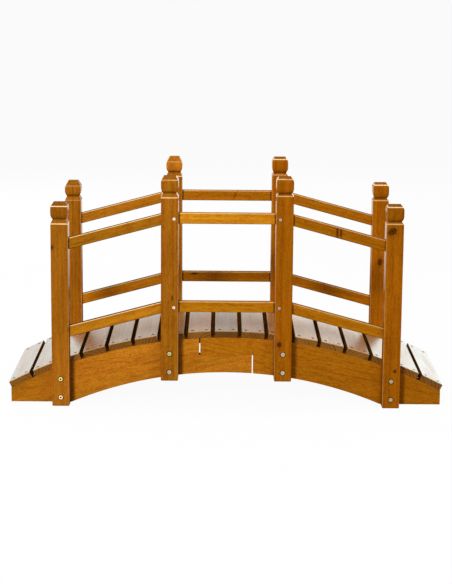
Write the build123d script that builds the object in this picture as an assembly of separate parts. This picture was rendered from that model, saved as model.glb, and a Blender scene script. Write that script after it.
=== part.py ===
from build123d import *
import os
from math import asin, atan2, degrees, hypot, sqrt

# Small arched garden bridge in timber, in millimetres.
# X runs along the span, Y across it and Z up; the origin is on the ground at the centre of the bridge.

# Arched side beams, each made of two halves that meet in a stepped lap at mid-span
beam_length = 1310.0
beam_thickness = 30.0
beam_crown_height = 204.6
beam_end_height = 42.5
beam_outer_spacing = 436.0
arch_span = 943.0
arch_rise = 96.2
lap_reach = 80.5
lap_end_gap = 4.0

# Deck boards, laid flat across both beams and spaced evenly between the two end boards
board_count = 17
board_width = 70.0
board_thickness = 20.0
board_rounding = 1.5
end_board_setback = 1.6

# Square posts with carved heads, bolted to the outer faces of the beams
post_side = 52.0
post_length = 620.0
post_rounding = 2.0
post_foot_easing = 2.5
outer_post_x = 499.5
middle_post_x = 171.0
middle_post_lift = 81.0

# Carved heads, with heights measured down from the top of the post
head_belly_rise = 11.5
head_belly_bottom_drop = 30.0
head_neck_width = 39.0
head_neck_drop = 48.5
head_edge_rounding = 3.0

# The heads are shaped by hand: the right ones have a short chamfer round the top and a steep
# rounded shoulder, the front left pair a deeper chamfer and the back left pair a long taper
shoulder_drop = 62.0
steep_shoulder_drop = 56.5
shoulder_rounding = 3.0
steep_shoulder_rounding = 9.0
chamfer_top_width = 37.0
short_chamfer_width = 45.0
short_chamfer_drop = 4.5
deep_chamfer_width = 49.4
deep_chamfer_drop = 9.5
taper_top_width = 31.5
taper_width = 47.8
taper_drop = 15.0

# Rails, let into blind mortises in the posts; each drop is from the top of a post down to the
# middle of the upper rail where it meets that post
rail_height = 33.0
rail_thickness = 22.0
rail_rounding = 3.0
rail_tenon = 20.0
rail_spacing = 268.5
centre_rail_drop = 125.5
sloping_rail_high_drop = 129.6
sloping_rail_low_drop = 122.8
mortise_clearance = 0.3
mortise_end_clearance = 0.5

# Worked out from the sizes above
middle_post_top = post_length + middle_post_lift
beam_y = (beam_outer_spacing - beam_thickness) / 2
post_y = (beam_outer_spacing + post_side) / 2
top_sag = beam_crown_height - beam_end_height
beam_top_radius = ((beam_length / 2) ** 2 + top_sag ** 2) / (2 * top_sag)
lap_level = (arch_rise + beam_crown_height) / 2
end_corner_angle = asin((beam_length / 2 - end_board_setback) / hypot(beam_top_radius, board_width / 2))
end_board_angle = degrees(end_corner_angle - atan2(board_width / 2, beam_top_radius))
board_pitch_angle = 2 * end_board_angle / (board_count - 1)

SIDES = {"front": -1, "back": 1}
HANDS = {"left": -1, "right": 1}
LEVELS = {"upper": 0.0, "lower": -rail_spacing}
SHOULDER = (shoulder_drop, shoulder_rounding)
RIGHT_HEAD = (chamfer_top_width, short_chamfer_width, short_chamfer_drop,
              steep_shoulder_drop, steep_shoulder_rounding)
HEAD_CUTS = {("front", "left"): (chamfer_top_width, deep_chamfer_width, deep_chamfer_drop, *SHOULDER),
             ("back", "left"): (taper_top_width, taper_width, taper_drop, *SHOULDER),
             ("front", "right"): RIGHT_HEAD,
             ("back", "right"): RIGHT_HEAD}


def beam_blank():
    """One whole arched beam: flat feet, arched underside and an arched top."""
    half_length = beam_length / 2
    half_span = arch_span / 2
    with BuildPart() as blank:
        with BuildSketch(Plane.XZ):
            with BuildLine():
                Line((-half_length, 0), (-half_span, 0))
                ThreePointArc((-half_span, 0), (0, arch_rise), (half_span, 0))
                Polyline((half_span, 0), (half_length, 0), (half_length, beam_end_height))
                ThreePointArc((half_length, beam_end_height), (0, beam_crown_height),
                              (-half_length, beam_end_height))
                Line((-half_length, beam_end_height), (-half_length, 0))
            make_face()
        extrude(amount=beam_thickness / 2, both=True)
    return blank.part


def lap_region():
    """The space of the left half: all of the beam up to the lap, and its lower tongue."""
    beyond = beam_length
    tongue_end = lap_reach - lap_end_gap / 2
    shoulder = -lap_reach - lap_end_gap / 2
    with BuildPart() as region:
        with BuildSketch(Plane.XZ):
            with BuildLine():
                Polyline((-beyond, -beyond), (tongue_end, -beyond), (tongue_end, lap_level),
                         (shoulder, lap_level), (shoulder, beyond), (-beyond, beyond), close=True)
            make_face()
        extrude(amount=beam_thickness, both=True)
    return region.part


def half_beams():
    """The left half with the lower tongue and the right half with the upper tongue."""
    blank = beam_blank()
    left_region = lap_region()
    turned = Pos(0, 0, lap_level) * Rot(0, 180, 0) * Pos(0, 0, -lap_level)
    return {"left": blank & left_region, "right": blank & (turned * left_region)}


def deck_board(index):
    """One board, resting flat on the arched beam tops."""
    angle = (index - (board_count - 1) / 2) * board_pitch_angle
    section = Plane.XZ * RectangleRounded(board_width, board_thickness, board_rounding)
    board = extrude(section, beam_outer_spacing / 2, both=True)
    arc_centre = Pos(0, 0, beam_crown_height - beam_top_radius)
    return arc_centre * Rot(0, angle, 0) * Pos(0, 0, beam_top_radius + board_thickness / 2) * board


def post_profile(top_width, cut_width, cut_drop, shoulder_at, shoulder_radius):
    """The post seen square on, extruded through its thickness."""
    half = post_side / 2
    foot = half - post_foot_easing
    neck = head_neck_width / 2
    cut = cut_width / 2
    shoulder_z = post_length - shoulder_at
    neck_z = post_length - head_neck_drop
    belly_bottom_z = post_length - head_belly_bottom_drop
    cut_z = post_length - cut_drop
    belly_top_z = cut_z - head_belly_rise
    with BuildPart() as profile:
        with BuildSketch(Plane.XZ) as outline:
            with BuildLine():
                Polyline((0, 0), (foot, 0), (half, post_foot_easing), (half, shoulder_z),
                         (neck, neck_z))
                TangentArc((half, belly_bottom_z), (neck, neck_z), tangent=(0, -1))
                Line((half, belly_bottom_z), (half, belly_top_z))
                TangentArc((half, belly_top_z), (cut, cut_z), tangent=(0, 1))
                Polyline((cut, cut_z), (top_width / 2, post_length), (0, post_length))
                mirror(about=Plane.YZ)
            make_face()
            for arris_z, radius in ((shoulder_z, shoulder_radius), (cut_z, head_edge_rounding)):
                arrises = [v for v in outline.vertices() if round(v.Z - arris_z, 3) == 0]
                fillet(arrises, radius)
        extrude(amount=post_side, both=True)
    return profile.part


def post_blank(head_cut):
    """A post worked with the same profile on all four sides."""
    profile = post_profile(*head_cut)
    stock = extrude(RectangleRounded(post_side, post_side, post_rounding), post_length)
    return profile & (Rot(0, 0, 90) * profile) & stock


def bay_bar(start_x, start_level, end_x, end_level, reach, growth):
    """A straight bar across one bay, cut off plumb inside the posts at both ends."""
    run = end_x - start_x
    climb = end_level - start_level
    middle = Pos((start_x + end_x) / 2, 0, (start_level + end_level) / 2)
    section = Plane.YZ * RectangleRounded(rail_thickness + 2 * growth, rail_height + 2 * growth,
                                          rail_rounding + growth)
    long_bar = extrude(section, sqrt(run ** 2 + climb ** 2), both=True)
    plumb_cut = Box(abs(run) + 2 * reach, 2 * rail_thickness, 2 * abs(climb) + 4 * rail_height)
    return middle * ((Rot(0, -degrees(atan2(climb, run)), 0) * long_bar) & plumb_cut)


def bay_ends(bay):
    """Where the rails of a bay meet the post faces: x and level of the upper rail at each end."""
    if bay == "centre":
        inner_face = middle_post_x - post_side / 2
        level = middle_post_top - centre_rail_drop
        return -inner_face, level, inner_face, level
    far_x = outer_post_x - post_side / 2
    near_x = middle_post_x + post_side / 2
    low_level = post_length - sloping_rail_low_drop
    high_level = middle_post_top - sloping_rail_high_drop
    if bay == "left":
        return -far_x, low_level, -near_x, high_level
    return near_x, high_level, far_x, low_level


def rail(bay, drop, growth=0.0, extra_reach=0.0):
    """A rail of a bay, or the mortise space for it when it is grown by the clearance."""
    start_x, start_level, end_x, end_level = bay_ends(bay)
    return bay_bar(start_x, start_level + drop, end_x, end_level + drop,
                   rail_tenon + extra_reach, growth)


parts = {}

halves = half_beams()
for side, y_sign in SIDES.items():
    for hand in HANDS:
        parts[f"{side}_beam_{hand}"] = Pos(0, y_sign * beam_y, 0) * halves[hand]

for index in range(board_count):
    parts[f"deck_board_{index + 1:02d}"] = deck_board(index)

blanks = {head_cut: post_blank(head_cut) for head_cut in set(HEAD_CUTS.values())}
mortises = [rail(bay, drop, mortise_clearance, mortise_end_clearance)
            for bay in ("left", "centre", "right") for drop in LEVELS.values()]
for side, y_sign in SIDES.items():
    for hand, x_sign in HANDS.items():
        for place, post_x, lift in (("outer", outer_post_x, 0.0),
                                    ("middle", middle_post_x, middle_post_lift)):
            post = Pos(x_sign * post_x, 0, lift) * blanks[HEAD_CUTS[side, hand]]
            for mortise in mortises:
                post = post - mortise
            parts[f"{side}_post_{place}_{hand}"] = Pos(0, y_sign * post_y, 0) * post
    for bay in ("left", "centre", "right"):
        for level, drop in LEVELS.items():
            parts[f"{side}_rail_{level}_{bay}"] = Pos(0, y_sign * post_y, 0) * rail(bay, drop)

os.makedirs("parts", exist_ok=True)
for name, solid in parts.items():
    export_step(solid, f"parts/{name}.step")
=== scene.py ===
import random
from math import asin, cos, pi, radians, sin

import bmesh
import bpy
from mathutils import Matrix, Vector


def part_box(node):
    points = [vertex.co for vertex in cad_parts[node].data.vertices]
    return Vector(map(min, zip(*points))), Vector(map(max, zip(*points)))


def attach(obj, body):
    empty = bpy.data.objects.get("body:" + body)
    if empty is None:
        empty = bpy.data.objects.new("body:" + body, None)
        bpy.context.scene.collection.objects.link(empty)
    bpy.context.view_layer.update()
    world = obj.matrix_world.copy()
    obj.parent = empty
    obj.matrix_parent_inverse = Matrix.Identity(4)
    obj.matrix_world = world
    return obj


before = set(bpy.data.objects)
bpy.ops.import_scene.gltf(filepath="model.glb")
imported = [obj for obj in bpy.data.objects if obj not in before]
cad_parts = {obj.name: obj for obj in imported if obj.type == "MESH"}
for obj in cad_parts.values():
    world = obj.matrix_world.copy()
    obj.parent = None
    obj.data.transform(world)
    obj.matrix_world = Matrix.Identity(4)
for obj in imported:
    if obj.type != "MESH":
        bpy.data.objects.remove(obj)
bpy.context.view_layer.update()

# Half beams
# Two arched side beams carry everything. Each is cut from two softwood planks that meet in a
# stepped lap at mid-span; the stain is honey brown under a satin varnish, grain along the plank.


class Link:
    """An output socket in a finish. Arithmetic on it adds Math nodes to the same finish."""

    def __init__(self, tree, socket=None):
        self.tree = tree
        self.socket = socket

    def node(self, kind, settings=None, inputs=None, out=0):
        """Add a node: its settings first, then a value or a link for each socket."""
        made = self.tree.nodes.new(kind)
        for name, value in (settings or {}).items():
            setattr(made, name, value)
        for key, value in (inputs or {}).items():
            if isinstance(value, Link):
                self.tree.links.new(value.socket, made.inputs[key])
            else:
                made.inputs[key].default_value = value
        return Link(self.tree, made.outputs[out] if made.outputs else None)

    def maths(self, operation, *values):
        """A Math node on one or more values or links."""
        return self.node("ShaderNodeMath", {"operation": operation}, dict(enumerate(values)))

    def __add__(self, other):
        return self.maths("ADD", self, other)

    __radd__ = __add__

    def __sub__(self, other):
        return self.maths("SUBTRACT", self, other)

    def __rsub__(self, other):
        return self.maths("SUBTRACT", other, self)

    def __mul__(self, other):
        return self.maths("MULTIPLY", self, other)

    __rmul__ = __mul__

    def __truediv__(self, other):
        return self.maths("DIVIDE", self, other)

    def __rtruediv__(self, other):
        return self.maths("DIVIDE", other, self)

    def size(self):
        """The value without its sign."""
        return self.maths("ABSOLUTE", self)

    def larger(self, other):
        return self.maths("MAXIMUM", self, other)

    def smaller(self, other):
        return self.maths("MINIMUM", self, other)

    def rise(self, low, high):
        """0 below low, 1 above high, and a smooth climb between them."""
        inputs = {"Value": self, "From Min": low, "From Max": high}
        return self.node("ShaderNodeMapRange", {"interpolation_type": "SMOOTHSTEP"}, inputs)

    def mixed(self, first, second):
        """The first colour where this is 0, and the second where it is 1."""
        return self.node("ShaderNodeMix", {"data_type": "RGBA"}, {0: self, 6: first, 7: second}, out=2)

    def dyed(self, tint):
        """This colour multiplied by another."""
        return self.node("ShaderNodeMix", {"data_type": "RGBA", "blend_type": "MULTIPLY"},
                         {0: 1.0, 6: self, 7: tint}, out=2)


def paint(red, green, blue):
    """A colour mixed in 0 to 255 steps, as the linear colour that a shader takes."""
    linear = [(step / 255 / 12.92) if step <= 10 else ((step / 255 + 0.055) / 1.055) ** 2.4
              for step in (red, green, blue)]
    return (*linear, 1.0)


def dye(colour, red, green, blue):
    """A colour with more or less of each primary in it."""
    return (colour[0] * red, colour[1] * green, colour[2] * blue, 1.0)


def new_finish(name):
    """A new material without nodes, and the finish that its nodes are added to."""
    material = bpy.data.materials.new(name)
    material.use_nodes = True
    material.node_tree.nodes.clear()
    return material, Link(material.node_tree)


def coat(piece, material):
    """Give every material slot of a piece the same finish."""
    if not piece.material_slots:
        piece.data.materials.append(material)
    for slot in piece.material_slots:
        slot.material = material


def middle(node):
    """The centre of a piece's box, in metres."""
    low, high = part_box(node)
    return (low + high) / 2


UP = Vector((0.0, 0.0, 1.0))
ALONG_SPAN = Vector((1.0, 0.0, 0.0))
ACROSS_BRIDGE = Vector((0.0, 1.0, 0.0))
MM_PER_METRE = 1000.0
# The pale cream of painted highlights
HIGHLIGHT_CREAM = paint(246, 210, 152)
KNOT_PALE = paint(96, 44, 6)
KNOT_DARK = paint(36, 13, 2)
HONEY_SHINE = paint(250, 220, 175)

# The heart of the tree wanders past a piece, across and through it, and its rings ripple, in
# millimetres. Knots are ragged and push the rings aside, in shares of their own size
HEART_WANDER = (80.0, 60.0)
RING_RIPPLE = 7.0
KNOT_RAGGEDNESS = 0.9
KNOT_PUSH = 1.3
KNOT_STRENGTH = 0.95

# How dark the stain is before the grain changes it, and how far it swings between red and green
BASE_STAIN = 0.34
RED_SWING = 0.22

# A surface that turns from the first slant of a pair to the second becomes a cut end, a face with
# painted shade or an arris. A painted highlight line, and a painted highlight lip below its level, fade
# in millimetres
CUT_END_TURN = (0.8, 0.95)
SHADED_TURN = (0.2, 0.6)
ARRIS_TURN = (0.12, 0.4)
HIGHLIGHT_LINE = (0.8, 2.1)
END_HIGHLIGHT_DEPTHS = (2.6, 1.4)


def timber(name, seed, centre, grain, face, early, late, ring_width, pith, ring_depth=0.3, grit=1.0,
           streaky=1.5, knots=(), knot_strength=KNOT_STRENGTH, toned=(), shade_lines=(), shaded_faces=(),
           end_tone=0.9, highlit_arrises=(), highlight_rings=(), end_highlight=None, gloss=0.0, glance=(0.8, 0.97), shine=HONEY_SHINE,
           blur=0.14, polish=None):
    """Stained and varnished softwood. Lengths in here are millimetres along, across and through.

    grain is the direction of the fibres, and face the normal of the widest face.
    early and late are the stain on the soft and the hard part of a ring. ring_width is how far
    apart the rings lie, pith how far the heart of the tree lies from the centre line, ring_depth
    how dark the rings are, and grit and streaky how unevenly the stain took.
    A knot is (along, across, half length, half width, lean), and knot_strength is how far it hides
    the stain.
    toned holds (direction, start, stop, tone): the colour goes over to tone between two levels, for
    stain and for painted light and shade.
    shade_lines holds (direction, level, reach, tone): a narrow line of painted shade, darkest at the
    level.
    shaded_faces holds (direction, tone): the faces that look that way, or away from it, are darkened to
    tone with painted shade and lose their gloss.
    end_tone is how light the stain stays on the cut ends.
    highlit_arrises holds (direction, strength): a painted highlight on the long arrises that lean that
    way.
    highlight_rings holds (along, strength): a painted highlight on the arrises that run round the
    piece.
    end_highlight is (level, strength) for a board with a painted highlight along the top of its cut
    ends.
    gloss is how far the varnish mirrors the room at a low angle, glance the slants where that
    starts and ends, shine its tint and blur how soft its reflections are. polish is (direction,
    start, stop, share): before start only a share of the gloss is left, and past stop all of it.
    """
    material, finish = new_finish(name)
    grain = Vector(grain).normalized()
    face = Vector(face).normalized()
    side = grain.cross(face)
    place = finish.node("ShaderNodeTexCoord", out="Object")
    normal = finish.node("ShaderNodeNewGeometry", out="True Normal")

    def dot(link, direction):
        return finish.node("ShaderNodeVectorMath", {"operation": "DOT_PRODUCT"},
                           {0: link, 1: tuple(direction)}, out="Value")

    def level_along(direction):
        """How far a point lies along a direction, from the ground at the middle of the bridge."""
        return dot(place, direction) * MM_PER_METRE

    along = (dot(place, grain) - centre.dot(grain)) * MM_PER_METRE
    across = (dot(place, side) - centre.dot(side)) * MM_PER_METRE
    through = (dot(place, face) - centre.dot(face)) * MM_PER_METRE

    def clouds(length, width, shift, detail=2.0, roughness=0.5):
        """Noise about 0.5 with lumps of this length and width, unlike any with another shift."""
        spot = finish.node("ShaderNodeCombineXYZ", None,
                           {0: along / length, 1: across / width, 2: through / width})
        return finish.node("ShaderNodeTexNoise", {"noise_dimensions": "4D"},
                           {"Vector": spot, "W": seed * 7.3 + shift, "Scale": 1.0,
                            "Detail": detail, "Roughness": roughness})

    # The heart of the tree wanders past the piece, so its rings open into arches on the face
    heart_across = across - pith[0] + (clouds(500.0, 900.0, 0.0) - 0.5) * HEART_WANDER[0]
    heart_through = through - pith[1] + (clouds(700.0, 900.0, 1.7) - 0.5) * HEART_WANDER[1]
    from_heart = finish.maths("SQRT", heart_across * heart_across + heart_through * heart_through)
    from_heart = from_heart + (clouds(60.0, 22.0, 3.1) - 0.5) * RING_RIPPLE

    # Distances from a knot are counted in its own half sizes, and the rings bend round it
    knot_mask = None
    knot_rings = None
    for knot_along, knot_across, half_length, half_width, lean in knots:
        out_across = (across - knot_across) / half_width
        out_along = (along - knot_along) / half_length + out_across * (lean * half_width / half_length)
        out = finish.maths("SQRT", out_along * out_along + out_across * out_across)
        out = out + (clouds(7.0, 7.0, 5.5) - 0.5) * KNOT_RAGGEDNESS
        from_heart = from_heart + (1.0 - out.rise(0.0, 3.5)) * half_length * KNOT_PUSH
        here = (1.0 - out.rise(0.6, 1.2)) * 0.7 + (1.0 - out.rise(0.8, 2.4)) * 0.3
        knot_mask = knot_mask.larger(here) if knot_mask else here
        knot_rings = knot_rings.smaller(out) if knot_rings else out

    # Each year's ring goes from pale early wood to a dark band, some years darker than others
    rings = from_heart / ring_width
    within = finish.maths("FRACT", rings)
    year = finish.node("ShaderNodeTexWhiteNoise", {"noise_dimensions": "1D"},
                       {"W": finish.maths("FLOOR", rings) + seed * 3.0}, out="Value")
    dark_band = within.rise(0.35, 0.82) * (1.0 - within.rise(0.86, 1.0)) * (year * 0.8 + 0.2)
    fibres = clouds(26.0, 1.1, 9.2)
    wavelets = clouds(24.0, 4.0, 10.3)
    pores = clouds(8.0, 2.6, 12.6, detail=1.0)
    streaks = clouds(420.0, 8.0, 11.4, detail=3.0, roughness=0.6)
    stain = clouds(170.0, 34.0, 15.0)
    reddening = clouds(300.0, 9.0, 17.0)

    fine = (fibres - 0.5) * 0.6 + (wavelets - 0.5) * 0.9 + (pores - 0.5) * 1.1
    depth = BASE_STAIN + dark_band * ring_depth + fine * grit + (streaks - 0.5) * streaky
    colour = depth.mixed(early, late)
    shade = (stain - 0.5) * 0.5 + 1.0
    for direction, start, stop, tone in toned:
        shade = shade * (level_along(direction).rise(start, stop) * (tone - 1.0) + 1.0)
    # Narrow lines of painted shade
    for direction, level, reach, tone in shade_lines:
        away = (level_along(direction) - level).size()
        shade = shade * (away.rise(0.0, reach) * (1.0 - tone) + tone)

    # The varnish mirrors the room at a low angle, less where the stain is heavy and not on faces with
    # painted shade
    low_angle = finish.node("ShaderNodeLayerWeight", None, {"Blend": 0.5}, out="Facing")
    mirrors = low_angle.rise(*glance) * gloss * (1.0 - (stain - 0.5) * 0.7 - (streaks - 0.5) * 0.25)
    if polish:
        direction, start, stop, share = polish
        bright = level_along(direction).rise(start, stop)
        mirrors = mirrors * (bright * (1.0 - share) + share)
    # Faces that look along a direction get painted shade and no gloss
    for direction, tone in shaded_faces:
        looks_there = dot(normal, direction).size().rise(*SHADED_TURN)
        shade = shade * (looks_there * (tone - 1.0) + 1.0)
        mirrors = mirrors * (1.0 - looks_there)
    swing = (reddening - 0.5) * RED_SWING
    tint = finish.node("ShaderNodeCombineXYZ", None,
                       {0: shade * (swing + 1.0), 1: shade * (1.0 - swing), 2: shade * shade})
    colour = colour.dyed(tint)

    # Cut ends drink more stain than the faces do, and their varnish sinks in
    cut_end = dot(normal, grain).size().rise(*CUT_END_TURN)
    end_stripes = dark_band * 0.6 + (pores - 0.5) * 0.6 + 0.2
    end_colour = end_stripes.mixed(dye(early, end_tone, end_tone * 0.95, end_tone * 0.6),
                                   dye(late, end_tone * 0.55, end_tone * 0.53, end_tone * 0.5))
    end_colour = end_colour.dyed(tint)
    colour = (cut_end * 0.95).mixed(colour, end_colour)
    if knots:
        heart_wood = finish.maths("FRACT", knot_rings * 1.6).mixed(KNOT_DARK, KNOT_PALE)
        colour = (knot_mask * knot_strength).mixed(colour, heart_wood)

    # Painted highlights: pale cream lines along the arrises and the tops of cut ends
    on_face = dot(normal, face).size()
    highlight = None
    for direction, strength in highlit_arrises:
        line = on_face.smaller(dot(normal, direction)).rise(*ARRIS_TURN) * strength
        highlight = highlight.larger(line) if highlight else line
    for level, strength in highlight_rings:
        line = (1.0 - (along - level).size().rise(*HIGHLIGHT_LINE)) * strength
        highlight = highlight.larger(line) if highlight else line
    if end_highlight:
        level, strength = end_highlight
        line = cut_end * through.rise(level - END_HIGHLIGHT_DEPTHS[0], level - END_HIGHLIGHT_DEPTHS[1]) * strength
        highlight = highlight.larger(line) if highlight else line
    if highlight:
        highlight = highlight * (clouds(14.0, 14.0, 19.0).rise(0.22, 0.5) * 0.5 + 0.5)
        colour = highlight.mixed(colour, HIGHLIGHT_CREAM)

    # Raised fibres under the varnish, and a mirror layer over them where it is glossy
    relief = dark_band * 0.25 + fibres * 0.5 + wavelets * 0.25
    bumped = finish.node("ShaderNodeBump", None,
                         {"Strength": 0.3, "Distance": 0.0003, "Height": relief})
    wood = finish.node("ShaderNodeBsdfPrincipled", None,
                       {"Base Color": colour, "Normal": bumped,
                        "Roughness": 0.4 + (stain - 0.5) * 0.25 + cut_end * 0.35,
                        "Specular IOR Level": 0.0, "Coat Weight": 0.04,
                        "Coat Roughness": 0.16, "Coat IOR": 1.5})
    mirror = finish.node("ShaderNodeBsdfPrincipled", None,
                         {"Base Color": shine, "Metallic": 1.0, "Roughness": blur,
                          "Normal": bumped})
    surface = finish.node("ShaderNodeMixShader", None,
                          {0: mirrors * (1.0 - cut_end), 1: wood, 2: mirror})
    finish.node("ShaderNodeOutputMaterial", None, {"Surface": surface})
    return material


BEAM_EARLY = paint(192, 122, 24)
BEAM_LATE = paint(142, 76, 7)
# The left-hand plank is paler and bluer, the right-hand one deeper: partly planks that took the stain
# unlike each other, partly painted light falling off from the left
BEAM_STAIN_AND_LIGHT = {"left": (0.97, 0.96, 1.05), "right": (0.97, 0.91, 0.55)}
# The tops of the beams, under the deck boards, are darkened to this tone with painted shade
BEAM_TOP_SHADE = 0.35
PLANK_SLOPE = radians(11.0)

# Stretches of painted light and shade along each beam: (start, stop, tone), in millimetres from
# mid-span
LIGHT_FADES = {"left": ((-440.0, -560.0, 0.84), (-60.0, -300.0, 1.09)),
         "right": ((60.0, 260.0, 0.82), (440.0, 560.0, 0.9))}

# Painted shadow in the corners on the left and right of each post, wider and darker on the right of the
# left-hand posts: (reach, tone)
LEFT_CORNER_SHADOW = (8.0, 0.78)
RIGHT_CORNER_SHADOW = {"left": (17.0, 0.6), "right": (8.0, 0.9)}

for number, node in enumerate(("front_beam_left", "front_beam_right",
                               "back_beam_left", "back_beam_right")):
    side, _, hand = node.split("_")
    lean = PLANK_SLOPE if hand == "left" else -PLANK_SLOPE
    corner_shadows = []
    for place in ("outer", "middle"):
        low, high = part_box(f"{side}_post_{place}_{hand}")
        corner_shadows.append((ALONG_SPAN, low.x * MM_PER_METRE, *LEFT_CORNER_SHADOW))
        corner_shadows.append((ALONG_SPAN, high.x * MM_PER_METRE, *RIGHT_CORNER_SHADOW[hand]))
    plank = timber("beam timber " + node, seed=number + 1, centre=middle(node),
                   grain=(cos(lean), 0.0, sin(lean)), face=ACROSS_BRIDGE,
                   early=dye(BEAM_EARLY, *BEAM_STAIN_AND_LIGHT[hand]), late=dye(BEAM_LATE, *BEAM_STAIN_AND_LIGHT[hand]),
                   ring_width=5.5, ring_depth=0.24, pith=(-20.0, 45.0), grit=1.25, streaky=0.7,
                   toned=[(ALONG_SPAN, *fade) for fade in LIGHT_FADES[hand]], shade_lines=corner_shadows,
                   shaded_faces=((UP, BEAM_TOP_SHADE),))
    coat(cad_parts[node], plank)

# Posts
# Eight square posts stand against the outer faces of the beams. Each is planed softwood with a head
# carved by the same cutter on all four sides, and its arrises carry painted highlights.
POST_EARLY = paint(164, 101, 14)
POST_LATE = paint(120, 60, 3)
# Painted light falling off from the left: the left-hand posts paler and bluer, as under a haze, the
# right-hand posts deeper
POST_PAINTED_LIGHT = {"left": (1.0, 1.0, 1.3), "right": (1.0, 0.88, 0.35)}
INWARD = {"left": ALONG_SPAN, "right": -ALONG_SPAN}
POST_NAMES = [f"{side}_post_{place}_{hand}" for side in ("front", "back")
              for place in ("outer", "middle") for hand in ("left", "right")]

# Millimetres down from the top of a post to the crease round its head, its neck and its shoulder
CREASE_DROPS = {"front left": 9.5, "back left": 15.0, "front right": 4.8, "back right": 4.8}
NECK_DROP = 47.0
SHOULDER_DROPS = {"left": 62.0, "right": 55.0}

# How strong the painted highlights are on the arrises at the crease and at the shoulder, and on the
# arrises that face the middle
ARRIS_HIGHLIGHT = {"front_post_outer_left": (1.0, 1.0), "front_post_middle_left": (0.45, 0.8),
              "front_post_middle_right": (0.6, 0.5), "front_post_outer_right": (0.8, 0.5),
              "back_post_outer_left": (0.15, 0.2), "back_post_middle_left": (0.2, 0.9),
              "back_post_middle_right": (0.8, 0.3), "back_post_outer_right": (1.0, 0.4)}
INNER_ARRIS_HIGHLIGHT = 0.25

# The heads took the stain unlike the shafts, and it is darker above the crease. A line of painted shade
# darkens the neck, and a painted haze of light makes one post paler at its foot
HEAD_TONE = {"front_post_outer_left": 0.78, "front_post_middle_left": 0.96,
             "front_post_middle_right": 0.98, "front_post_outer_right": 0.8,
             "back_post_outer_left": 1.0, "back_post_middle_left": 1.45,
             "back_post_middle_right": 0.95, "back_post_outer_right": 0.95}
HEAD_BLEND = 4.0
CROWN_STAIN = 0.85
CROWN_BLEND = 1.5
NECK_SHADE = (7.0, 0.5)
FOOT_HAZE = {"front_post_outer_left": 1.2}
FOOT_FADE = (260.0, 80.0)

# The varnish is glossy at the top and dulled below, fading between these drops from the top
GLOSS_FADE = (360.0, 40.0)

# Knots, placed from the middle of the post
POST_KNOTS = {"front_post_outer_left": ((176.0, 24.0, 7.0, 6.0, 0.3), (-72.0, -26.0, 7.0, 2.5, 0.0)),
              "front_post_middle_left": ((-55.0, -8.0, 7.0, 2.2, 0.0),),
              "front_post_middle_right": ((-195.0, 12.0, 8.0, 7.5, 0.0),),
              "front_post_outer_right": ((233.0, 8.0, 12.0, 13.5, 0.2), (-194.0, -10.4, 4.5, 4.5, 0.0)),
              "back_post_outer_right": ((53.0, -2.0, 12.0, 8.0, 0.4),)}

for number, node in enumerate(POST_NAMES):
    luck = random.Random(100 + number)
    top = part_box(node)[1].z * MM_PER_METRE
    half_length = top - middle(node).z * MM_PER_METRE
    side, _, _, hand = node.split("_")
    crease = CREASE_DROPS[f"{side} {hand}"]
    crease_highlight, shoulder_highlight = ARRIS_HIGHLIGHT[node]
    stock = timber("post timber " + node, seed=number + 11, centre=middle(node),
                   grain=UP, face=ACROSS_BRIDGE,
                   early=dye(POST_EARLY, *POST_PAINTED_LIGHT[hand]), late=dye(POST_LATE, *POST_PAINTED_LIGHT[hand]),
                   ring_width=luck.uniform(3.0, 4.4), ring_depth=0.15,
                   pith=(luck.uniform(-50.0, 50.0), luck.uniform(30.0, 70.0)),
                   knots=POST_KNOTS.get(node, ()), end_tone=1.15, gloss=0.8,
                   polish=(UP, top - GLOSS_FADE[0], top - GLOSS_FADE[1], 0.0),
                   toned=((UP, top - NECK_DROP, top - NECK_DROP + HEAD_BLEND, HEAD_TONE[node]),
                          (UP, top - crease, top - crease + CROWN_BLEND, CROWN_STAIN),
                          (UP, *FOOT_FADE, FOOT_HAZE.get(node, 1.0))),
                   shade_lines=((UP, top - NECK_DROP, *NECK_SHADE),),
                   highlit_arrises=((INWARD[hand], INNER_ARRIS_HIGHLIGHT),),
                   highlight_rings=((half_length - crease, crease_highlight),
                           (half_length - SHOULDER_DROPS[hand], shoulder_highlight)))
    coat(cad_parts[node], stock)

# Rails
# Twelve light bars, two to a bay, planed with softened edges and let into mortises in the posts.
# The bars of the end bays slope down with the deck. No two took the stain quite alike.
RAIL_EARLY = paint(186, 119, 18)
RAIL_LATE = paint(138, 75, 5)
# Each bar's tint: partly stain that differs from bar to bar, partly painted light falling off from the
# left, paler and bluer on the left-hand bars and deeper on the right-hand ones
RAIL_STAIN_AND_LIGHT = {"front_rail_upper_left": (0.84, 0.84, 1.0), "front_rail_upper_centre": (1.38, 1.48, 1.7),
            "front_rail_upper_right": (0.76, 0.68, 0.25), "front_rail_lower_left": (1.05, 1.06, 1.2),
            "front_rail_lower_centre": (0.98, 0.97, 0.6), "front_rail_lower_right": (0.94, 0.9, 0.5),
            "back_rail_upper_left": (0.98, 0.94, 1.2), "back_rail_upper_centre": (0.95, 0.86, 0.6),
            "back_rail_upper_right": (0.85, 0.78, 0.4), "back_rail_lower_left": (1.22, 1.18, 0.9),
            "back_rail_lower_centre": (0.9, 0.82, 0.4), "back_rail_lower_right": (0.85, 0.78, 0.4)}

# Knots, placed from the middle of the rail
RAIL_KNOTS = {"front_rail_upper_right": ((-7.0, 0.0, 3.0, 18.0, 0.27), (4.0, 1.0, 2.6, 15.0, 0.27)),
              "back_rail_upper_centre": ((26.0, 1.0, 4.0, 10.0, -0.3),),
              "back_rail_lower_centre": ((-104.0, 10.0, 11.0, 3.5, 0.0),)}
FAINT_KNOTS = {"back_rail_upper_centre": 0.55}

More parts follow.
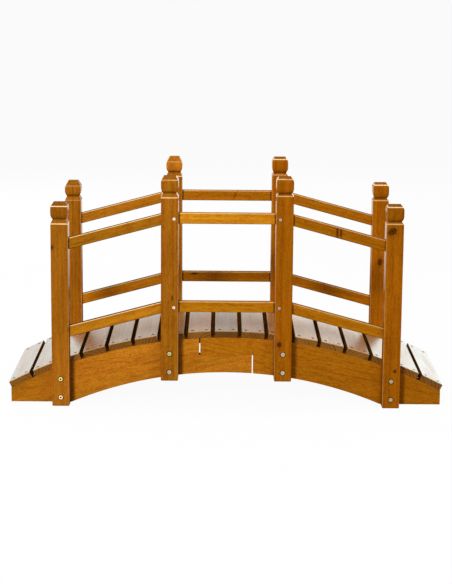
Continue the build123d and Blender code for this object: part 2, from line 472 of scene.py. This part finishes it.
# The slope of a bay's rails, how glossy they are, how dark their tops are painted as shade, how strong
# the painted highlight is on the arrises beside them, and the reach and tone of the painted shade line
# where they enter the posts
RAIL_SLOPE = {"left": radians(15.0), "centre": 0.0, "right": radians(-15.0)}
RAIL_GLOSS = {"left": 0.15, "centre": 0.6, "right": 0.6}
RAIL_TOP_SHADE = {"left": 0.3, "centre": 0.9, "right": 0.8}
TOP_ARRIS_HIGHLIGHT = {"left": 0.8, "centre": 0.5, "right": 0.45}
RAIL_END_SHADE = {"left": (3.0, 0.8), "centre": (6.5, 0.12), "right": (3.0, 0.5)}
TENON_LENGTH = 0.020

for number, (node, stain) in enumerate(sorted(RAIL_STAIN_AND_LIGHT.items())):
    luck = random.Random(200 + number)
    bay = node.split("_")[-1]
    lean = RAIL_SLOPE[bay]
    low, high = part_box(node)
    entries = ((low.x + TENON_LENGTH) * MM_PER_METRE, (high.x - TENON_LENGTH) * MM_PER_METRE)
    bar = timber("rail timber " + node, seed=number + 31, centre=middle(node),
                 grain=(cos(lean), 0.0, sin(lean)), face=ACROSS_BRIDGE,
                 early=dye(RAIL_EARLY, *stain), late=dye(RAIL_LATE, *stain),
                 ring_width=luck.uniform(2.6, 4.0),
                 pith=(luck.uniform(-35.0, 35.0), luck.uniform(20.0, 60.0)),
                 knots=RAIL_KNOTS.get(node, ()), gloss=RAIL_GLOSS[bay], glance=(0.65, 1.0),
                 knot_strength=FAINT_KNOTS.get(node, KNOT_STRENGTH),
                 shade_lines=[(ALONG_SPAN, entry, *RAIL_END_SHADE[bay]) for entry in entries],
                 shaded_faces=((UP, RAIL_TOP_SHADE[bay]),), highlit_arrises=((UP, TOP_ARRIS_HIGHLIGHT[bay]),))
    coat(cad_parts[node], bar)

# Deck boards
# Seventeen planed boards are screwed down square across both beams, with open gaps to drain. Their
# stain is browner and their varnish the glossiest, so at a low angle they mirror the pale room.
BOARD_EARLY = paint(172, 116, 58)
BOARD_LATE = paint(124, 76, 26)
SILVER_SHINE = paint(208, 213, 206)
CROWN_TONE = 0.54
# The long sides of the boards, seen in the gaps between them, are darkened to this tone with painted
# shade
GAP_SIDE_SHADE = 0.3
BOARD_HALF_THICKNESS = 0.010
BOARD_NAMES = sorted(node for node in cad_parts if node.startswith("deck_board"))
CROWN_BOARD = len(BOARD_NAMES) // 2
board_centres = [middle(node) for node in BOARD_NAMES]
arc_rise = board_centres[CROWN_BOARD].z - board_centres[0].z
arc_reach = board_centres[0].x
arc_radius = (arc_reach ** 2 + arc_rise ** 2) / (2 * arc_rise)


def board_lean(centre):
    """How far a board is tipped from level, turning about the bridge's width."""
    return asin(centre.x / arc_radius)


for number, (node, centre) in enumerate(zip(BOARD_NAMES, board_centres)):
    luck = random.Random(300 + number)
    lean = board_lean(centre)
    tone = luck.uniform(0.75, 1.05) if number != CROWN_BOARD else CROWN_TONE
    # Each board gets a painted highlight of random strength along the tops of its cut ends
    board = timber("deck timber " + node, seed=number + 51, centre=centre, grain=ACROSS_BRIDGE,
                   face=(sin(lean), 0.0, cos(lean)),
                   early=dye(BOARD_EARLY, tone, tone, tone), late=dye(BOARD_LATE, tone, tone, tone),
                   ring_width=luck.uniform(8.0, 11.0),
                   pith=(luck.choice((-1, 1)) * luck.uniform(35.0, 70.0), luck.uniform(-60.0, -30.0)),
                   shaded_faces=(((cos(lean), 0.0, -sin(lean)), GAP_SIDE_SHADE),), end_tone=0.68,
                   end_highlight=(BOARD_HALF_THICKNESS * MM_PER_METRE, luck.uniform(0.15, 0.5)),
                   gloss=1.0, glance=(0.67, 0.9), shine=SILVER_SHINE, blur=0.27)
    coat(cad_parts[node], board)

# Bolts
# Two bolts hold each post to its beam. Each has a low round head with a hexagon socket, set in a ring
# of painted shade on the post, and a washer and nut on the inner face of the beam.
BOLT_HEIGHTS = (0.027, 0.084)
HEAD_RADIUS = 0.0065
HEAD_ROUNDING = 0.0009
SHADE_RING = 0.0022
SOCKET_FLATS = 0.0028
WASHER_RADIUS = 0.0085
NUT_FLATS = 0.0055
THREAD_RADIUS = 0.003
THREAD_TIP_RADIUS = 0.0024
ROUND_STEPS = 24

# Levels above the face of the timber, in metres; what is driven into it lies below zero
BURIED = -0.0005
SHADE_FILM = 0.0001
HEAD_FOOT = 0.0002
HEAD_EDGE = 0.00121
HEAD_TOP = 0.0022
SOCKET_FLOOR = 0.0008
WASHER_TOP = 0.0014
NUT_TOP = 0.0062
THREAD_END = 0.0105
THREAD_TIP = 0.0112

LIME_ZINC = paint(232, 226, 150)
CREAM_ZINC = paint(255, 226, 178)
OLIVE_ZINC = paint(196, 188, 118)
GREY_ZINC = paint(190, 178, 150)
BEIGE_ZINC = paint(178, 154, 114)
DIRT_AND_SHADE = paint(24, 14, 5)

# The tints of the lower and the upper bolt of each post that is seen from the front
PLATING = {"front_post_outer_left": (CREAM_ZINC, LIME_ZINC),
           "front_post_middle_left": (GREY_ZINC, OLIVE_ZINC),
           "front_post_middle_right": (GREY_ZINC, GREY_ZINC),
           "front_post_outer_right": (BEIGE_ZINC, BEIGE_ZINC)}


def zinc(name, seed, low_tint, high_tint, split):
    """Zinc plating, clouded and dulled in patches. The tint changes at the height of split."""
    material, finish = new_finish(name)
    place = finish.node("ShaderNodeTexCoord", out="Object")
    cloud = finish.node("ShaderNodeTexNoise", {"noise_dimensions": "4D"},
                        {"Vector": place, "W": seed, "Scale": 420.0, "Detail": 3.0})
    height = finish.node("ShaderNodeSeparateXYZ", None, {0: place}, out="Z")
    colour = height.rise(split - 0.001, split + 0.001).mixed(low_tint, high_tint)
    haze = cloud * 0.5 + 0.75
    colour = colour.dyed(finish.node("ShaderNodeCombineXYZ", None, {0: haze, 1: haze, 2: haze}))
    shader = finish.node("ShaderNodeBsdfPrincipled", None,
                         {"Base Color": colour, "Metallic": 0.8, "Roughness": 0.3 + cloud * 0.2})
    finish.node("ShaderNodeOutputMaterial", None, {"Surface": shader})
    return material


def clouded_recess(name, tint, seed):
    """A flat matt tint with dark patches: painted shade round the heads and in slots and dark sockets,
    a painted highlight in pale sockets, and dirty dark steel on the deck screws.
    """
    material, finish = new_finish(name)
    place = finish.node("ShaderNodeTexCoord", out="Object")
    cloud = finish.node("ShaderNodeTexNoise", {"noise_dimensions": "4D"},
                        {"Vector": place, "W": seed, "Scale": 600.0, "Detail": 2.0})
    colour = cloud.mixed(tint, DIRT_AND_SHADE)
    shader = finish.node("ShaderNodeBsdfPrincipled", None,
                         {"Base Color": colour, "Roughness": 0.8 + cloud * 0.2,
                          "Specular IOR Level": 0.0})
    finish.node("ShaderNodeOutputMaterial", None, {"Surface": shader})
    return material


def round_edge(radius):
    """Radius of a circle, the same at every turn."""
    return lambda turn: radius


def hexagon(flats):
    """Radius of a hexagon at a turn, where flats is from its centre to a flat."""
    return lambda turn: flats / cos((turn + pi / 6) % (pi / 3) - pi / 6)


def cross(reach, half_width):
    """Radius of a cross-shaped slot at a turn: its arms reach so far and are twice half_width wide."""
    def radius(turn):
        off = abs((turn + pi / 4) % (pi / 2) - pi / 4)
        return min(reach, half_width / max(sin(off), 0.001))
    return radius


# Places of the finishes on a bolt or screw
METAL = 0
DARK = 1
SOCKET = 2


def turned(shape, levels, place):
    """Add a lathe-like solid to a mesh, capped at both ends.

    Each level is (radius rule, height, skin), where skin is the finish of the band below it.
    """
    rings = []
    for rule, height, _ in levels:
        ring = []
        for step in range(ROUND_STEPS):
            turn = 2 * pi * step / ROUND_STEPS
            spot = Vector((rule(turn) * cos(turn), rule(turn) * sin(turn), height))
            ring.append(shape.verts.new(place @ spot))
        rings.append(ring)
    for lower, upper, (_, _, skin) in zip(rings, rings[1:], levels[1:]):
        for step in range(ROUND_STEPS):
            after = (step + 1) % ROUND_STEPS
            band = shape.faces.new((lower[step], lower[after], upper[after], upper[step]))
            band.material_index = skin
    shape.faces.new(list(reversed(rings[0]))).material_index = levels[0][2]
    shape.faces.new(rings[-1]).material_index = levels[-1][2]


def piece_from(shape, name, finishes):
    """Turn a finished mesh into a piece of the bridge. The finishes come in order of their places."""
    bmesh.ops.recalc_face_normals(shape, faces=shape.faces)
    mesh = bpy.data.meshes.new(name)
    shape.to_mesh(mesh)
    shape.free()
    for finish in finishes:
        mesh.materials.append(finish)
    piece = bpy.data.objects.new(name, mesh)
    bpy.context.scene.collection.objects.link(piece)
    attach(piece, "root")


BOLT_HEAD = [(round_edge(HEAD_RADIUS + SHADE_RING), BURIED, DARK),
             (round_edge(HEAD_RADIUS + SHADE_RING), SHADE_FILM, DARK),
             (round_edge(HEAD_RADIUS), HEAD_FOOT, DARK),
             (round_edge(HEAD_RADIUS), HEAD_EDGE, METAL),
             (round_edge(HEAD_RADIUS - HEAD_ROUNDING), HEAD_TOP, METAL),
             (hexagon(SOCKET_FLATS), HEAD_TOP, METAL),
             (hexagon(SOCKET_FLATS), SOCKET_FLOOR, SOCKET)]
NUT = [(round_edge(WASHER_RADIUS), BURIED, METAL),
       (round_edge(WASHER_RADIUS), WASHER_TOP, METAL),
       (hexagon(NUT_FLATS), WASHER_TOP, METAL),
       (hexagon(NUT_FLATS), NUT_TOP, METAL),
       (round_edge(THREAD_RADIUS), NUT_TOP, METAL),
       (round_edge(THREAD_RADIUS), THREAD_END, METAL),
       (round_edge(THREAD_TIP_RADIUS), THREAD_TIP, METAL)]


def facing_y(spot, sign):
    """A place whose own up points along Y, towards the front when sign is -1."""
    return Matrix.Translation(spot) @ Matrix.Rotation(-sign * pi / 2, 4, "X")


shade_ring = clouded_recess("painted shade round the bolts", paint(86, 50, 10), 3.0)
highlit_socket = clouded_recess("painted highlight in the socket", paint(235, 225, 190), 5.0)
for number, node in enumerate(POST_NAMES):
    low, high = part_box(node)
    sign = -1 if node.startswith("front") else 1
    outer_face = low.y if sign < 0 else high.y
    beam_low, beam_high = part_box(node.split("_")[0] + "_beam_left")
    inner_face = beam_high.y if sign < 0 else beam_low.y
    heads = bmesh.new()
    nuts = bmesh.new()
    for height in BOLT_HEIGHTS:
        post_x = (low.x + high.x) / 2
        turned(heads, BOLT_HEAD, facing_y((post_x, outer_face, low.z + height), sign))
        turned(nuts, NUT, facing_y((post_x, inner_face, low.z + height), -sign))
    low_tint, high_tint = PLATING.get(node, (GREY_ZINC, CREAM_ZINC))
    split = low.z + sum(BOLT_HEIGHTS) / 2
    plating = zinc("bolt zinc " + node, number * 2.7, low_tint, high_tint, split)
    # The socket floor is painted shade on the front left post and a painted highlight on the others
    socket = shade_ring if node == "front_post_outer_left" else highlit_socket
    piece_from(heads, "bolt_heads_" + node, (plating, shade_ring, socket))
    piece_from(nuts, "bolt_nuts_" + node, (plating,))

# Rail screws
# Zinc-plated screws with a cross slot pin the centre rails. Each is driven through the outer face of a
# middle post into the tenon of the rail; its low head sits in a narrow ring of painted shade, and its
# slot is painted dark as shade.
SCREW_FROM_EDGE = 0.013
SCREW_RING_RADIUS = 0.0055
SCREW_RADIUS = 0.0046
SCREW_TOP_RADIUS = 0.0038
SLOT_MOUTH = cross(0.0024, 0.0006)
SLOT_BOTTOM = cross(0.0020, 0.0005)
SCREW_EDGE = 0.0006
SCREW_TOP = 0.0014
SLOT_FLOOR = -0.0003
RAIL_SCREW = [(round_edge(SCREW_RING_RADIUS), BURIED, DARK),
              (round_edge(SCREW_RING_RADIUS), SHADE_FILM, DARK),
              (round_edge(SCREW_RADIUS), HEAD_FOOT, DARK),
              (round_edge(SCREW_RADIUS), SCREW_EDGE, METAL),
              (round_edge(SCREW_TOP_RADIUS), SCREW_TOP, METAL),
              (SLOT_MOUTH, SCREW_TOP, METAL),
              (SLOT_BOTTOM, SLOT_FLOOR, DARK)]
SCREW_TINT = {"left": paint(255, 232, 215), "right": paint(176, 172, 156)}

for side, sign in (("front", -1), ("back", 1)):
    for hand, inward in (("left", 1), ("right", -1)):
        low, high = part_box(f"{side}_post_middle_{hand}")
        outer_face = low.y if sign < 0 else high.y
        inner_edge = high.x if inward > 0 else low.x
        screws = bmesh.new()
        for level in ("upper", "lower"):
            height = middle(f"{side}_rail_{level}_centre").z
            spot = (inner_edge - inward * SCREW_FROM_EDGE, outer_face, height)
            turned(screws, RAIL_SCREW, facing_y(spot, sign))
        tint = SCREW_TINT[hand]
        plating = zinc(f"screw zinc {side} {hand}", 31.0 + sign, tint, tint, low.z)
        piece_from(screws, f"rail_screws_{side}_{hand}", (plating, shade_ring))

# Deck screws
# Two dark countersunk screws over either beam hold each board down. They are steel with a cross
# slot, driven flush with the tread.

# How far a screw lies from the middle of its board's width, and from the end of the board
SCREW_SPREAD = 0.021
SCREW_INSET = 0.023

SUNK_RADIUS = 0.0048
SUNK_TOP_RADIUS = 0.0040
SUNK_SLOT_MOUTH = cross(0.0022, 0.0006)
SUNK_SLOT_BOTTOM = cross(0.0018, 0.0005)
SUNK_DEPTH = -0.0006
SUNK_EDGE = 0.0002
SUNK_TOP = 0.0004
SUNK_SLOT_FLOOR = -0.0004
BLACK = 0
DECK_SCREW = [(round_edge(SUNK_RADIUS), SUNK_DEPTH, BLACK),
              (round_edge(SUNK_RADIUS), SUNK_EDGE, BLACK),
              (round_edge(SUNK_TOP_RADIUS), SUNK_TOP, BLACK),
              (SUNK_SLOT_MOUTH, SUNK_TOP, BLACK),
              (SUNK_SLOT_BOTTOM, SUNK_SLOT_FLOOR, BLACK)]
dark_steel = clouded_recess("deck screw holes", paint(70, 52, 30), 9.0)

for side, sign in (("front", -1), ("back", 1)):
    screws = bmesh.new()
    for node, centre in zip(BOARD_NAMES, board_centres):
        low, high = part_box(node)
        lean = board_lean(centre)
        end = (low.y if sign < 0 else high.y) - sign * SCREW_INSET
        for step in (-1, 1):
            away = Vector((cos(lean), 0.0, -sin(lean))) * step * SCREW_SPREAD
            up = Vector((sin(lean), 0.0, cos(lean))) * BOARD_HALF_THICKNESS
            spot = Vector((centre.x, end, centre.z)) + away + up
            turned(screws, DECK_SCREW, Matrix.Translation(spot) @ Matrix.Rotation(lean, 4, "Y"))
    piece_from(screws, f"deck_screws_{side}", (dark_steel,))

# Floor
# A plain white studio floor, wide enough to fill the frame. It is seen as white and keeps a
# faint shadow of the bridge, and it throws some plain light back up under the deck.
FLOOR_HALF = 60.0
WHITE = (1.0, 1.0, 1.0, 1.0)
SEEN_GLOW = 0.95
SEEN_GREY = (0.7, 0.7, 0.7, 1.0)
LIT_GREY = (0.3, 0.3, 0.3, 1.0)

# Two strips under the ends of the deck don't glow, because they would shine up between the
# boards. They fade in and out at these distances from the middle of the bridge, in metres
STRIP_START = (0.47, 0.48)
STRIP_END = (0.65, 0.66)
STRIP_SIDE = (0.19, 0.2)

floor_shape = bmesh.new()
bmesh.ops.create_grid(floor_shape, x_segments=1, y_segments=1, size=FLOOR_HALF)
floor_mesh = bpy.data.meshes.new("studio_floor")
floor_shape.to_mesh(floor_mesh)
floor_shape.free()
floor = bpy.data.objects.new("studio_floor", floor_mesh)
bpy.context.scene.collection.objects.link(floor)
floor_material, floor_finish = new_finish("studio floor white")


def looked_at(finish):
    """1 for what the camera sees straight on, in a reflection or through glass."""
    seen = finish.node("ShaderNodeLightPath", out="Is Camera Ray")
    mirrored = finish.node("ShaderNodeLightPath", out="Is Glossy Ray")
    through_glass = finish.node("ShaderNodeLightPath", out="Is Transmission Ray")
    return seen.larger(mirrored).larger(through_glass)


floor_spot = floor_finish.node("ShaderNodeTexCoord", out="Object")
along_floor = floor_finish.node("ShaderNodeSeparateXYZ", None, {0: floor_spot}, out="X").size()
across_floor = floor_finish.node("ShaderNodeSeparateXYZ", None, {0: floor_spot}, out="Y").size()
in_strip = along_floor.rise(*STRIP_START) * (1.0 - along_floor.rise(*STRIP_END))
under_deck_end = in_strip * (1.0 - across_floor.rise(*STRIP_SIDE))
open_floor = looked_at(floor_finish) * (1.0 - under_deck_end)
chalk_colour = open_floor.mixed(LIT_GREY, SEEN_GREY)
chalk = floor_finish.node("ShaderNodeBsdfDiffuse", None, {"Color": chalk_colour})
glow = floor_finish.node("ShaderNodeEmission", None, {"Color": WHITE, "Strength": 1.0})
surface = floor_finish.node("ShaderNodeMixShader", None,
                            {0: open_floor * SEEN_GLOW, 1: chalk, 2: glow})
floor_finish.node("ShaderNodeOutputMaterial", None, {"Surface": surface})
coat(floor, floor_material)

# Light
# A white room with little light of its own. The key stands far off on the front left and throws
# the narrow shadows beside the posts; the others are weaker and fill in each side and the top.
ROOM_LIGHT = 0.12
world = bpy.data.worlds.new("white room")
bpy.context.scene.world = world
world.use_nodes = True
world.node_tree.nodes.clear()
room = Link(world.node_tree)
brightness = looked_at(room) * (1.0 - ROOM_LIGHT) + ROOM_LIGHT
background = room.node("ShaderNodeBackground", None, {"Color": WHITE, "Strength": brightness})
room.node("ShaderNodeOutputWorld", None, {"Surface": background})

AIM = Vector((0.0, 0.0, 0.35))


def soft_lamp(name, spot, width, height, watts, mirrored=True):
    """A soft lamp turned to the middle of the bridge. mirrored is whether the varnish shows it."""
    lamp = bpy.data.lights.new(name, "AREA")
    lamp.shape = "RECTANGLE"
    lamp.size = width
    lamp.size_y = height
    lamp.energy = watts
    stand = bpy.data.objects.new(name, lamp)
    stand.location = spot
    stand.rotation_euler = (AIM - Vector(spot)).to_track_quat("-Z", "Y").to_euler()
    stand.visible_camera = False
    stand.visible_glossy = mirrored
    bpy.context.scene.collection.objects.link(stand)


soft_lamp("key lamp", (-1.9, -6.3, 3.6), 1.1, 1.1, 410.0)
soft_lamp("strip over the camera", (0.0, -3.3, 2.75), 2.4, 0.3, 10.0)
soft_lamp("front right fill", (2.3, -4.1, 2.0), 1.4, 1.4, 30.0)
soft_lamp("left side lamp", (-3.1, 0.1, 1.2), 1.0, 1.6, 70.0, mirrored=False)
soft_lamp("right side lamp", (3.1, 0.1, 1.2), 1.0, 1.6, 85.0, mirrored=False)
soft_lamp("top lamp", (0.1, 0.3, 3.4), 1.8, 1.8, 19.0)
soft_lamp("back lamp", (-1.8, 4.2, 2.2), 1.4, 1.4, 97.0, mirrored=False)
soft_lamp("back right panel", (1.9, 4.5, 1.0), 3.0, 1.6, 7.0)

# Camera
# A long lens over five metres in front of the bridge and higher than its heads, so that it looks
# down on the deck by eleven degrees. It is level to half a degree. Its turns are in radians.
FRAME_HEIGHT = 584
FOCAL_PIXELS = 1737.7
FILM_SIZE = 36.0
FAR_LIMIT = 200.0
EYE = Vector((-0.0168, -5.3673, 1.3737))
YAW = 0.0029
PITCH = 0.1970
ROLL = 0.0084

forward = Vector((sin(YAW) * cos(PITCH), cos(YAW) * cos(PITCH), -sin(PITCH)))
level_right = Vector((cos(YAW), -sin(YAW), 0.0))
level_up = level_right.cross(forward)
right = level_right * cos(ROLL) + level_up * sin(ROLL)
up = level_up * cos(ROLL) - level_right * sin(ROLL)
lens = bpy.data.cameras.new("photo camera")
lens.sensor_width = FILM_SIZE
lens.lens = FILM_SIZE * FOCAL_PIXELS / FRAME_HEIGHT
lens.clip_end = FAR_LIMIT
camera = bpy.data.objects.new("photo camera", lens)
turn = Matrix((right, up, -forward)).transposed()
camera.matrix_world = Matrix.Translation(EYE) @ turn.to_4x4()
bpy.context.scene.collection.objects.link(camera)
bpy.context.scene.camera = camera
bpy.context.scene.view_settings.view_transform = "Standard"
